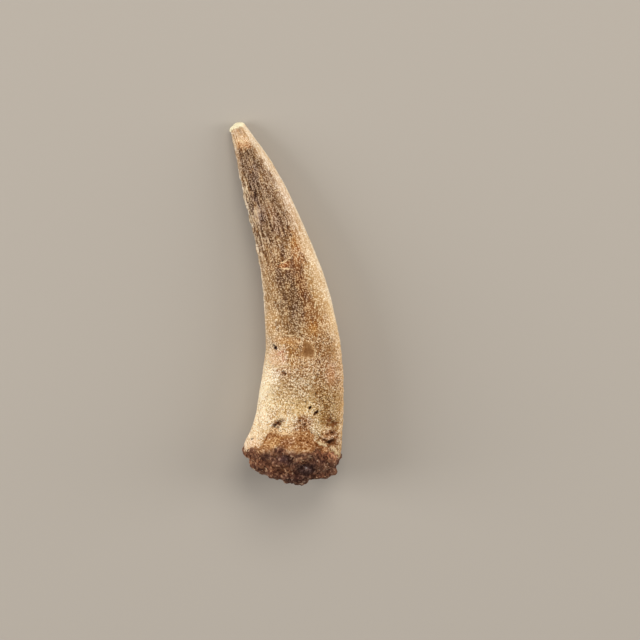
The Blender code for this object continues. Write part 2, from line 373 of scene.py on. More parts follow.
def carve(points, pits, ragged, upward):
    # how deep these pits go at each point, on the upper or the lower side only
    depth = np.zeros(len(points))
    side = smooth(-0.2, 0.6, upward)
    for x, y, radius, deepest, stretch, turn in pits:
        rough = ragged * min(1.0, radius / 0.5)
        dx, dy = points[:, 0] - x, points[:, 1] - y
        long = (dx * math.cos(turn) + dy * math.sin(turn)) / radius
        short = (dy * math.cos(turn) - dx * math.sin(turn)) / (radius * stretch)
        away = np.hypot(long, short) * (1 + 0.6 * rough) + 0.42 * rough
        depth = np.maximum(depth, deepest * smooth(1.05, 0.25, away) * side)
    return depth


def lineDistance(points, line):
    best = np.full(len(points), 1e9)
    for (x0, y0), (x1, y1) in zip(line, line[1:]):
        dx, dy = x1 - x0, y1 - y0
        share = ((points[:, 0] - x0) * dx + (points[:, 1] - y0) * dy) / (dx * dx + dy * dy)
        share = np.clip(share, 0, 1)
        best = np.minimum(best, np.hypot(points[:, 0] - x0 - share * dx, points[:, 1] - y0 - share * dy))
    return best


def makeTooth():
    rings = []
    for y in tooth["ringsAt"]:
        narrow = tooth["innerTaper"] if y == tooth["ringsAt"][0] else 1.0
        rings.append((middleX(y), y, middleZ(y), widthAt(y) * narrow, thicknessAt(y) * narrow))
    x, _, z, width, thickness = rings[-1]
    for share, height in tooth["tipRings"]:
        rings.append((x, tipY + height, z, width * share, thickness * share))
    piece = stackRings("toothSurface", tooth["corners"], rings)
    applyModifier(piece, "SUBSURF", levels=tooth["levels"], render_levels=tooth["levels"])
    print("tooth drawn out:", len(piece.data.vertices), "points")

    # the rings above lie level: each now leans with the curve and takes its exact outline
    level = getPoints(piece)
    along = np.clip(level[:, 1], sections[0][0], tipY)
    over = level[:, 1] - along  # only the tip's cap stands above the last section
    across = level[:, 0] - middleX(along)
    up = level[:, 2] - middleZ(along)
    size = outlineScale(across, up, widthAt(along) / 2, thicknessAt(along) / 2)
    turn = np.arctan2(up, across)
    edge = borderAt(turn)
    low, high = tooth["taperBelow"]
    taper = tooth["innerTaper"] + (1 - tooth["innerTaper"]) * smooth(edge - low, edge - high, along)
    cap = smooth(*tooth["tipCap"], level[:, 1])
    endCap = smooth(*tooth["endCap"], level[:, 1])
    size = (size * taper) * (1 - cap) * (1 - endCap) + cap + endCap
    across, up = across * size, up * size
    side = across / (widthAt(along) / 2)  # -1 on the inner side of the curve, 1 on the outer
    trimY, outerTrim, innerTrim = np.transpose(tooth["trim"])
    across = across + np.interp(along, trimY, outerTrim) * smooth(0.0, 1.0, side)
    across = across - np.interp(along, trimY, innerTrim) * smooth(0.0, -1.0, side)
    points = bend(across, up, along)
    lean = leanAt(along)
    points[:, 0] -= np.sin(lean) * over
    points[:, 1] += np.cos(lean) * over
    setPoints(piece, points)

    # the root's lumps, the crown's ridges and the enamel's flakes
    upward = up / (thicknessAt(along) / 2)
    turn = np.arctan2(up, across)
    crown = smooth(*tooth["crownFrom"], along)
    tip = smooth(*tooth["tipFrom"], along)
    relief = (1 - crown) * lumpsOf(points, tooth["rootLumps"], (0, 0, 7))
    relief += crown * (1 - tip) * lumpsOf(points, tooth["crownLumps"], (3, 0, 7))
    around = np.column_stack([np.cos(turn), np.sin(turn), along / 40.0]) * (tooth["ridgeCount"] / 6.2)
    drift = noiseField(around * np.array([1, 1, 6.0]), tooth["ridgeDrift"])
    ridges = 1 - 2 * np.abs(noiseField(around + drift[:, None] * 0.25, 1.0))
    inner = smooth(0.75, -0.5, side)
    where = smooth(*tooth["ridgesFrom"], along) * (1 - smooth(*tooth["ridgesTo"], along))
    where = where * (tooth["outerRidges"] + (1 - tooth["outerRidges"]) * inner)
    relief += tooth["ridgeHeight"] * (ridges - 0.5) * where
    flaky = smooth(0.02, 0.3, noiseField(points, tooth["flakeSize"], (2, 2, 6)))
    flaky = flaky * smooth(-0.35, -0.9, side)
    flaky = flaky * smooth(*tooth["flakesFrom"], along) * smooth(*tooth["flakesTo"], along)
    relief += tooth["flakes"] * flaky

    # grain, wear and pores
    ragged = raggedNoise(points)
    fine = np.zeros(len(points))
    for grain, tall in tooth["grain"]:
        fine += (1 - crown) * tall * noiseField(points, grain, (1, 2, 3)) * smooth(-1.15, -0.6, side)
    worn = smooth(0.62, 0.3, side + 0.25 * noiseField(points, tooth["wearEdge"])) * crown * (1 - tip)
    for grain, tall in tooth["wear"]:
        fine += (0.15 + 0.85 * worn) * crown * tall * noiseField(points, grain, (7, 1, 3))
    pores = smooth(0.34, 0.12, cellField(points, tooth["poreSize"], (2, 4, 1)) + 0.1 * ragged)
    sandy = smooth(0.0, 0.35, noiseField(points, tooth["sandyPatches"], (4, 9, 2)) + 0.25)
    sandy = (1 - crown) * sandy
    fine -= tooth["poreDepth"] * pores * sandy

    # pits, broken rims and the chipped tip
    depth = carve(points, tooth["pits"], ragged, upward)
    depth = np.maximum(depth, carve(points, tooth["hiddenPits"], ragged, -upward))
    frayed = points + 0.15 * ragged[:, None]
    rim = np.min([lineDistance(frayed, line) for line in tooth["rimLines"]], axis=0)
    rim = smooth(tooth["rimWidth"], 0.05, rim) * smooth(0.0, 0.3, upward) * smooth(-0.9, -0.2, ragged)
    chipped = cap * lumpsOf(points, tooth["tipLumps"], (4, 4, 4))
    relief += fine - depth + tooth["rimHeight"] * rim + chipped
    points = points + getNormals(piece) * relief[:, None]
    setPoints(piece, onFloor(points, tooth["lowest"]))
    keepUnbent(piece, turn, along)
    keepAttribute(piece, "side", side)
    keepAttribute(piece, "hollow", np.clip(depth / tooth["deepPit"], 0, 1))
    # the fine relief, from which the paint lays shade in its hollows and a highlight on its rises
    keepAttribute(piece, "relief", np.clip(fine / tooth["fullRelief"], -1, 1))
    keepAttribute(piece, "rim", rim)
    keepAttribute(piece, "flaky", flaky)
    bpy.ops.object.shade_smooth()
    return piece


toothPiece = makeTooth()
print("tooth shaped")


def makeMatrix():
    rootAt = matrix["rootAt"]
    rings = []
    for y, share, shift in matrix["rings"]:
        at = max(y, rootAt)
        rings.append((middleX(at) + shift, y, middleZ(at), widthAt(at) * share, thicknessAt(at) * share))
    piece = stackRings("matrixLump", matrix["corners"], rings)
    applyModifier(piece, "SUBSURF", levels=matrix["levels"], render_levels=matrix["levels"])
    applyModifier(piece, "REMESH", mode="VOXEL", voxel_size=matrix["voxel"] * mm, use_smooth_shade=True)
    print("sediment remeshed:", len(piece.data.vertices), "points")

    # the end face rises from its nub, and draws the wall with it
    points = getPoints(piece)
    rootX, rootZ = middleX(rootAt), thicknessAt(rootAt) / 2
    x, y, z = points.T
    away = x - matrix["nub"][0]
    high = z - rootZ
    rise = np.interp(x, *np.transpose(matrix["endAt"])) - matrix["endHeight"]
    nub = np.hypot(away, high - matrix["nub"][1]) / matrix["nubWidth"]
    rise += matrix["endDepthCurve"] * high**2 - matrix["nubReach"] * np.exp(-(nub**4))
    low = np.clip((matrix["wallTop"] - y) / (matrix["wallTop"] - matrix["endHeight"]), 0, 1)
    points[:, 1] += rise * low

    # the wall takes the root's outline: proud of it below, a thin crust above, inside it past its edge
    across, up, along = unbend(points)
    at = np.maximum(along, rootAt)
    turn = np.arctan2(up, across)
    edge = borderAt(turn) + lumpsOf(points, matrix["borderRagged"], (8, 3, 1))
    facing = across / (widthAt(at) / 2)
    upward = up / (thicknessAt(at) / 2)
    share = np.clip((matrix["wallTop"] - along) / (matrix["wallTop"] - matrix["endHeight"] - rise), 0, 1)
    tuck = matrix["tuck"][0] + (matrix["tuck"][1] - matrix["tuck"][0]) * smooth(-1, 1, facing)
    past = along - edge
    skin = matrix["crust"] * smooth(0.0, -0.25, past) - matrix["sunk"] * smooth(0.0, 0.9, past)
    skin = skin - carve(points, tooth["pits"], raggedNoise(points), upward) * smooth(0.0, 0.3, past)
    skin = skin + matrix["lip"] * smooth(-0.7, -0.25, past) * smooth(0.05, -0.2, past)
    lump = smooth(*matrix["lumpBelow"], along)
    grow = skin * (1 - lump) + matrix["proud"] * lump - tuck * share ** matrix["tuckPower"]
    grow = np.where(past > 0, skin, grow)
    size = outlineScale(across, up, widthAt(at) / 2 + grow, thicknessAt(at) / 2 + grow)
    wall = smooth(0.72, 0.88, 1 / size) * smooth(*matrix["wallFrom"], along)
    size = 1 + (size - 1) * wall
    points = bend(across * size, up * size, along)
    setPoints(piece, points)

    # clots, grains and dust
    outward = points - np.array([rootX, 4.0, rootZ])
    outward /= np.linalg.norm(outward, axis=1)[:, None]
    coarse = lumpsOf(points, matrix["lumps"], (11, 2, 5))
    for size, tall in matrix["clots"]:
        coarse += tall * clods(points, size, (size, 3, 1), 0.62)
    coarse = coarse * smooth(*matrix["clotsBelow"], along)
    points = points + outward * coarse[:, None]
    setPoints(piece, points)
    normals = getNormals(piece)
    under = lumpsOf(points, tooth["rootLumps"], (0, 0, 7)) * smooth(*matrix["rootLumpsFrom"], along)
    points = points + normals * under[:, None]
    grainy = np.zeros(len(points))
    for k, (size, tall) in enumerate(matrix["grains"]):
        grainy += tall * clods(points, size, (k, 4, 2), 0.6)
    grainy += matrix["dust"][1] * noiseField(points, matrix["dust"][0])
    amount = matrix["grainOnCrust"] + (1 - matrix["grainOnCrust"]) * smooth(*matrix["grainBelow"], along)
    points = points + normals * (grainy * amount)[:, None]
    setPoints(piece, onFloor(points))

    fullGrain, fullClod = matrix["fullRelief"]
    # the relief, from which the paint lays shade in the hollows and a highlight on the heights
    keepAttribute(piece, "relief", np.clip(grainy / fullGrain + coarse / fullClod, -1, 1))
    # where the crust's raised lip is painted pale, as a painted highlight along its edge
    lip = smooth(-0.4, -0.18, past) * smooth(0.12, -0.08, past)
    lip = lip * smooth(*matrix["lipFrom"], along) * smooth(0.4, -0.6, across)
    keepAttribute(piece, "lip", lip)
    crustEdge = along + noiseField(points, matrix["crustEdge"])
    keepAttribute(piece, "crust", smooth(*matrix["crustFrom"], crustEdge))
    keepUnbent(piece, turn, along)
    bpy.ops.object.shade_smooth()
    return piece


matrixPiece = makeMatrix()
print("sediment shaped")


def tone(red, green, blue):
    # a colour as a paint program gives it, 0 to 255, in the linear form that nodes take
    return tuple((c / 255) ** 2.2 for c in (red, green, blue)) + (1.0,)


def newMaterial(name):
    global tree  # the nodes of the material that is being made
    material = bpy.data.materials.new(name)
    material.use_nodes = True
    tree = material.node_tree
    tree.nodes.clear()
    shader = addNode("BsdfPrincipled")
    plug(shader.outputs["BSDF"], addNode("OutputMaterial").inputs["Surface"])
    return material, shader


def plug(source, socket):
    # an input takes another node's output, or a plain value
    if isinstance(source, bpy.types.NodeSocket):
        tree.links.new(source, socket)
    else:
        socket.default_value = source


def addNode(kind, inputs=None, **settings):
    node = tree.nodes.new("ShaderNode" + kind)
    for name, value in settings.items():
        setattr(node, name, value)
    for name, source in (inputs or {}).items():
        plug(source, node.inputs[name])
    return node


def calc(operation, first, second=0.0, clamp=False):
    return addNode("Math", {0: first, 1: second}, operation=operation, use_clamp=clamp).outputs[0]


def fade(value, low, high, start=0.0, end=1.0):
    # goes smoothly from start to end as value goes from low to high
    inputs = dict(enumerate((value, low, high, start, end)))
    return addNode("MapRange", inputs, interpolation_type="SMOOTHSTEP").outputs[0]


def chain(operation, numbers):
    result = numbers[0]
    for number in numbers[1:]:
        result = calc(operation, result, number)
    return result


def total(*numbers):
    return chain("ADD", numbers)


def product(*numbers):
    return chain("MULTIPLY", numbers)


def highest(numbers):
    return chain("MAXIMUM", numbers)


def inverse(mask):
    return calc("SUBTRACT", 1.0, mask)


def cloud(vector, size, detail=2.0, roughness=0.5, place=None):
    # noise whose blotches are about this many millimetres across, from 0 to 1;
    # made before its mapping, or the shader has too many values in use at once and turns black
    node = addNode("TexNoise", {"Scale": 1 / size, "Detail": detail, "Roughness": roughness})
    plug(shifted(vector, place) if place else vector, node.inputs["Vector"])
    return node


def cells(vector, size, randomness=1.0):
    return addNode("TexVoronoi", {"Vector": vector, "Scale": 1 / size, "Randomness": randomness})


def dots(vector, size, radius, share):
    # round specks, at most one in each cell of this size
    node = cells(vector, size, 0.8)
    near = fade(node.outputs["Distance"], radius * 1.25, radius * 0.75)
    drawn = parts(node.outputs["Color"])[2]
    return product(near, fade(drawn, 0.9 - share, 1.1 - share))


def shifted(vector, by, scale=(1, 1, 1)):
    return addNode("Mapping", {"Vector": vector, "Location": by, "Scale": scale}).outputs[0]


def wobble(vector, size, amount, place=(0, 0, 0)):
    # pushes places about, so that an edge drawn over them is ragged
    push = cloud(vector, size, 3.0, 0.6, place).outputs["Color"]
    push = addNode("VectorMath", {0: push, 1: (0.5, 0.5, 0.5)}, operation="SUBTRACT").outputs[0]
    inputs = {0: push, 1: (amount, amount, amount), 2: vector}
    return addNode("VectorMath", inputs, operation="MULTIPLY_ADD").outputs[0]


def spot(vector, x, y, wide, tall, turn=0.0, soft=0.4):
    # 1 inside an oval with these half sizes, seen from above, and 0 outside it
    inputs = {"Vector": vector, "Location": (x, y, 0), "Rotation": (0, 0, turn), "Scale": (wide, tall, 1e6)}
    within = addNode("Mapping", inputs, vector_type="TEXTURE").outputs[0]
    length = addNode("VectorMath", {0: within}, operation="LENGTH").outputs["Value"]
    return fade(length, 1 + soft, 1 - soft)


def ramp(value, low, high, stops):
    # colours at these values, which lie between low and high
    node = addNode("ValToRGB", {0: calc("DIVIDE", calc("SUBTRACT", value, low), high - low)})
    colours = node.color_ramp
    while len(colours.elements) < len(stops):
        colours.elements.new(0.5)
    for element, (at, colour) in zip(colours.elements, stops):
        element.position = (at - low) / (high - low)
        element.color = tone(*colour)
    return node.outputs["Color"]


def blend(share, below, above, kind="MIX"):
    settings = {"data_type": "RGBA", "blend_type": kind, "clamp_factor": True}
    return addNode("Mix", {0: share, 6: below, 7: above}, **settings).outputs[2]


def readAttribute(name, output="Fac"):
    return addNode("Attribute", attribute_name=name).outputs[output]


def placeOf():
    # where each point lies, in the measures above
    return shifted(addNode("TexCoord").outputs["Object"], tuple(origin), (1 / mm, 1 / mm, 1 / mm))


def parts(vector):
    return addNode("SeparateXYZ", {0: vector}).outputs


def addBump(shader, layers):
    # one bump node on another, each with its own height in millimetres
    normal = None
    for height, distance in layers:
        inputs = {"Height": height, "Distance": distance * mm}
        if normal:
            inputs["Normal"] = normal
        normal = addNode("Bump", inputs).outputs[0]
    plug(normal, shader.inputs["Normal"])


toothPaint = {
    # colours down the middle of the tooth at these Y
    "middle": [
        (3, (170, 126, 88)), (5.6, (196, 154, 108)), (6.6, (226, 190, 146)), (8.6, (242, 213, 170)),
        (11, (244, 214, 160)), (14, (214, 182, 138)), (15.6, (208, 170, 126)), (18.6, (196, 152, 100)),
        (20.4, (200, 158, 106)), (21.4, (162, 126, 84)), (24, (130, 96, 62)), (28.2, (118, 82, 50)),
        (29, (134, 90, 54)), (30.2, (138, 99, 62)), (31.6, (152, 118, 84)), (33.6, (130, 98, 68)),
        (36, (122, 92, 64)), (40, (128, 98, 70)), (44.3, (122, 92, 64)), (45, (206, 160, 112)),
        (45.7, (240, 204, 162)), (46.3, (216, 182, 146)), (47.4, (220, 188, 158)),
    ],
    # the same along the side inside the curve
    "inner": [
        (3, (210, 172, 134)), (5, (246, 216, 178)), (8, (252, 229, 188)), (13, (254, 238, 202)),
        (17, (252, 226, 184)), (20, (224, 192, 150)), (23, (196, 164, 124)), (28, (178, 144, 106)),
        (33, (150, 120, 90)), (40, (144, 116, 88)), (44.5, (190, 156, 122)), (47.4, (226, 196, 158)),
    ],
    # on the shoulder between the middle and the rim
    "shoulder": [
        (3, (170, 128, 84)), (10, (172, 131, 68)), (15, (182, 138, 94)), (19, (186, 144, 98)),
        (22, (182, 138, 90)), (26, (180, 142, 96)), (30, (190, 152, 106)), (34, (182, 146, 110)),
        (40, (162, 130, 100)), (44, (196, 160, 122)), (47.4, (218, 184, 144)),
    ],
    # and along the smooth rim outside it
    "outer": [
        (3, (216, 184, 140)), (8, (246, 209, 160)), (15, (232, 194, 146)), (18, (238, 205, 160)),
        (22, (238, 208, 164)), (26, (222, 193, 153)), (30, (232, 204, 166)), (33, (224, 198, 166)),
        (37, (232, 208, 184)), (44, (238, 218, 192)), (47.4, (250, 232, 206)),
    ],
    # share of the half width where the rim begins, at these Y
    "rimFrom": [(3, 0.94), (14, 0.92), (17, 0.88), (20, 0.81), (24, 0.74), (28, 0.68),
                (33, 0.62), (38, 0.68), (42, 0.6), (45, 0.56), (46.8, 0.5), (48, 0.5)],
    # X, Y, half sizes, turn, softness, strength, colour
    "patches": [
        (-0.4, 24.2, 1.7, 4.6, 0.1, 0.45, 0.7, (114, 84, 56)),
        (0.8, 21.6, 1.3, 2, 0.1, 0.5, 0.5, (128, 96, 64)),
        (-1.3, 28.1, 1.5, 1, 0, 0.5, 0.75, (116, 86, 62)),
        (2.4, 22.8, 0.9, 2.8, 0.16, 0.55, 0.8, (156, 110, 66)),
        (1.3, 26.9, 0.9, 2.2, 0.25, 0.5, 0.9, (130, 84, 46)),
        (-3, 23.6, 1.2, 5, 0.05, 0.55, 0.8, (172, 138, 96)),
        (-2.6, 21.6, 1, 1.7, 0, 0.5, 0.8, (210, 176, 132)),
        (2.08, 18.2, 0.92, 1.08, 0.4, 0.5, 0.95, (128, 90, 54)),
        (3.7, 17.3, 0.7, 1, -0.3, 0.45, 0.8, (162, 116, 70)),
        (3.3, 19.2, 0.6, 0.8, 0.2, 0.45, 0.6, (162, 118, 74)),
        (5.1, 15.3, 0.8, 1.6, 0.1, 0.55, 0.65, (188, 138, 100)),
        (-0.6, 19.5, 2.3, 0.7, 0, 0.5, 0.6, (190, 144, 94)),
        (-1.85, 17.25, 1.35, 1.35, 0, 0.45, 0.8, (230, 195, 160)),
        (-1.7, 17.9, 0.45, 0.25, 0.4, 0.5, 0.7, (204, 146, 114)),
        (-1.2, 17.2, 0.22, 0.4, 0.4, 0.5, 0.6, (204, 148, 116)),
        (-2.35, 14.7, 0.6, 0.85, 0, 0.5, 0.8, (255, 240, 212)),
        (2.7, 21.2, 0.45, 1.2, 0.1, 0.5, 0.75, (176, 120, 56)),
        (1, 18.5, 0.5, 0.6, 0, 0.5, 0.6, (160, 116, 72)),
        (-0.2, 17.2, 0.3, 1.9, 0.05, 0.4, 0.8, (194, 146, 86)),
        (-1.3, 15.2, 0.8, 0.5, 0.3, 0.5, 0.6, (172, 124, 88)),
        (1.2, 13.2, 2.6, 2.2, 0.2, 0.6, 0.55, (182, 150, 108)),
        (4.1, 11.6, 0.8, 2.8, 0.2, 0.55, 0.85, (160, 116, 60)),
        (4.9, 9.3, 0.8, 1.3, -0.1, 0.55, 0.5, (176, 138, 94)),
        (3, 8.3, 0.85, 1.15, 0.35, 0.4, 0.95, (230, 204, 162)),
        (4.4, 7.95, 0.9, 0.35, -0.1, 0.45, 0.85, (232, 196, 146)),
        (1.1, 8.8, 1.2, 0.85, 0.2, 0.5, 0.9, (158, 104, 60)),
        (1.2, 8, 1.2, 0.75, 0, 0.5, 0.85, (168, 118, 72)),
        (-1.6, 8.7, 2.2, 1.5, 0.1, 0.5, 0.75, (248, 224, 186)),
        (-2, 8.75, 0.7, 0.42, 0.5, 0.5, 0.85, (146, 106, 56)),
        (4.9, 6.7, 1.1, 1.3, 0, 0.5, 0.85, (202, 154, 114)),
        (-5, 5.6, 1.2, 0.8, 0.2, 0.5, 0.75, (240, 204, 168)),
        (0, 5, 4.1, 1.4, 0, 0.15, 0.8, (184, 136, 92)),
        (-1.1, 29.35, 0.8, 0.36, 0.35, 0.5, 0.8, (182, 116, 66)),
        (0.2, 29.6, 1.3, 0.9, 0.45, 0.6, 0.7, (142, 94, 56)),
        (0.4, 32.3, 0.7, 1.6, 0.42, 0.6, 0.75, (192, 140, 80)),
        (2.9, 26, 0.75, 2.6, 0.28, 0.6, 0.8, (206, 170, 122)),
        (-5, 4.3, 1.7, 1, 0.3, 0.6, 0.7, (196, 150, 110)),
        (0.8, 30.6, 1, 1.2, 0.4, 0.6, 0.75, (194, 144, 96)),
        (-3.6, 40.2, 0.7, 1.5, 0.4, 0.6, 0.4, (166, 130, 98)),
        (-4.3, 38, 0.9, 1.5, 0.4, 0.6, 0.5, (110, 82, 60)),
        (-6.35, 45.1, 0.45, 0.3, 0.3, 0.6, 0.75, (190, 132, 80)),
        (-1.9, 34.4, 0.8, 1.4, 0.5, 0.6, 0.55, (132, 98, 76)),
        (-2.9, 36.3, 0.7, 1.2, 0.5, 0.6, 0.55, (178, 142, 112)),
        (-4.5, 36, 0.7, 1.4, 0.4, 0.6, 0.55, (116, 90, 82)),
        (-5.4, 41.6, 0.7, 1.4, 0.4, 0.6, 0.5, (116, 92, 82)),
        (-5.3, 38.4, 0.35, 1.9, 0.33, 0.5, 0.6, (100, 74, 64)),
        (-6.35, 40.3, 0.22, 1.7, 0.25, 0.4, 0.55, (190, 158, 116)),
    ],
    # X, Y, half sizes, turn and strength of places worn smooth, where there is little speckle
    "smoothSpots": [
        (2.08, 18.15, 0.95, 1.15, 0.1, 0.85), (-2, 17.2, 1.2, 1.2, 0, 0.25),
        (5.1, 15, 0.5, 1.2, 0.1, 0.45), (-0.6, 19.4, 1.8, 0.5, 0, 0.5), (-2.4, 14.6, 0.6, 0.8, 0, 0.2),
    ],
    # X, Y, half sizes, turn and darkness of the painted shade in small holes, too small to model
    "shadedHoles": [
        (-2.24, 18.5, 0.24, 0.2, -0.3, 1), (-2.52, 18.82, 0.1, 0.12, 0.3, 0.9),
        (-1.28, 15.55, 0.11, 0.09, -0.6, 0.8), (-0.92, 15.25, 0.1, 0.09, 0, 0.8),
        (2.3, 10.85, 0.22, 0.12, 0.9, 0.9), (3.15, 10.25, 0.26, 0.13, 0.7, 0.9),
        (-2.36, 8.48, 0.24, 0.17, 0.5, 0.9), (-1.95, 8.8, 0.2, 0.14, 0.6, 0.85),
        (-1.6, 9.04, 0.12, 0.12, 0, 0.8), (-1.68, 8.55, 0.12, 0.1, 0.2, 0.7),
        (-5.42, 6.45, 0.12, 0.08, 0.3, 0.8), (3.42, 15.6, 0.1, 0.08, 0.5, 0.7),
        (3, 12.6, 0.1, 0.09, 0, 0.8), (1.65, 11.6, 0.09, 0.08, 0, 0.8),
        (-4.25, 5.6, 0.09, 0.08, 0, 0.8), (0.95, 9.15, 0.12, 0.1, 0.4, 0.8),
        (1.55, 8.6, 0.14, 0.11, 0.9, 0.7), (2.45, 7.55, 0.1, 0.08, -1, 0.8),
    ],
    # X, Y, half length, half width, turn of the pale lines where enamel has broken or ends
    "paleLines": [
        (-1.2, 29.85, 1.3, 0.075, 0.5), (-0.85, 28.85, 0.9, 0.07, 0.05), (-1.98, 39.05, 0.5, 0.07, 0.1),
        (-6.8, 45.35, 0.6, 0.08, -0.2), (-1.7, 16.15, 1.6, 0.085, 0.04), (-1.65, 18.9, 0.35, 0.07, -0.25),
        (-0.2, 20.25, 0.6, 0.08, 0.1), (0.9, 19.95, 0.6, 0.07, -0.2), (3.45, 21.9, 0.6, 0.08, -1.1),
        (4.1, 20.9, 0.35, 0.07, -0.5), (3, 17.95, 0.75, 0.085, 1.55), (-2.2, 7.95, 1, 0.08, 0.03),
        (2.35, 7.75, 0.65, 0.08, -1), (4.35, 7.95, 0.75, 0.09, -0.22), (2.95, 24.1, 0.5, 0.06, 1.2),
    ],
    "darkLines": [(-4.42, 8.2, 2.5, 0.06, 1.6), (-4.05, 5.9, 0.5, 0.06, 1.2)],
    "darkLine": (176, 134, 92),
    "tipFacet": (255, 250, 216),
    # the painted highlight along the outline
    "edge": (250, 236, 210),
    "holeShade": (54, 18, 3),
    "pitShade": (136, 84, 46),
    "goldStain": (176, 134, 84),
    "rootStain": (186, 142, 94),
    "darkStain": (108, 82, 68),
    "sparkle": (240, 218, 182),
    # pale tone of the cracks, and of the painted highlight on the broken rims
    "crackAndRimHighlight": (244, 218, 176),
    "shadeBrown": (84, 58, 40),
    "deepening": (1, 0.83, 0.57, 1),  # darker speckle is warmer too
    "rootGloss": 0.72,  # roughness
    "crownGloss": 0.46,
    "rimPolish": 0.14,
    "specular": 0.17,
}
toothGrain = {
    # size in millimetres, and how strongly each lightens and darkens
    "medium": (0.42, 1),
    "fine": (0.12, 3.6),
    "broad": (2.2, 0.8),
    "blotches": (0.85, 2.6),
    "streaks": (0.19, 2.4),
    "threads": (0.3, 9),
    "sand": (0.12, 2.4),
    "enamel": (0.11, 1.6),
    "specks": 0.18,  # size only
    # size of the cells, radius of a dot, share of cells with one, strength
    "crownDots": (0.205, 0.41, 0.92, 2.2),
    "paleGrains": (0.22, 0.4, 0.9, 2.4),
    "darkGrains": (0.22, 0.38, 0.88, -2.4),
    "crownShade": -0.46,
    # strength of the painted shade and highlight that follow the fine relief
    "relief": 0.4,
    "rimBlotches": 1.6,
    "innerRoot": 0.3,
    "darkest": -1.9,
    "palest": 1.45,
}
toothZones = {
    # Y where each starts to come in, and Y where it has come in fully
    "crown": (19.6, 21.2),
    "edgeHighlight": (19, 24),
    "tipEdge": (44, 45.2),
    "crownTop": (47.5, 47.1),
    "nearTip": (44.6, 45.4),
    "calmRoot": (17, 14),
    "striated": (28, 33),
    "streaks": (27, 31),
    "fine": (25, 30),
    "blotches": (24, 32),
    "paler": (28, 31),
    "tipFacet": (47.05, 47.35),
    "gloss": (15, 21),
}
curveTop = 48.0  # curves and ramps along the tooth run from 0 to here


def alongCurve(value, places):
    # a number that changes along the tooth, drawn through these places
    node = addNode("FloatCurve", {"Value": calc("DIVIDE", value, curveTop)})
    curve = node.mapping.curves[0]
    for k, (y, share) in enumerate(places):
        if k in (0, 1):
            curve.points[k].location = (y / curveTop, share)
        else:
            curve.points.new(y / curveTop, share)
    node.mapping.update()
    return node.outputs[0]


def spread(value, amount):
    # noise about 0.5 made into a number about 0, this much stronger
    return product(calc("SUBTRACT", value, 0.5), amount)


def speckled(colour, light):
    # deepens a colour where light is below 0 and lifts it where light is above 0
    deep = addNode("Gamma", {0: colour, 1: inverse(product(light, 0.42))}).outputs[0]
    inputs = {0: deep, "Scale": total(0.97, product(light, 0.20))}
    return addNode("VectorMath", inputs, operation="SCALE").outputs[0]


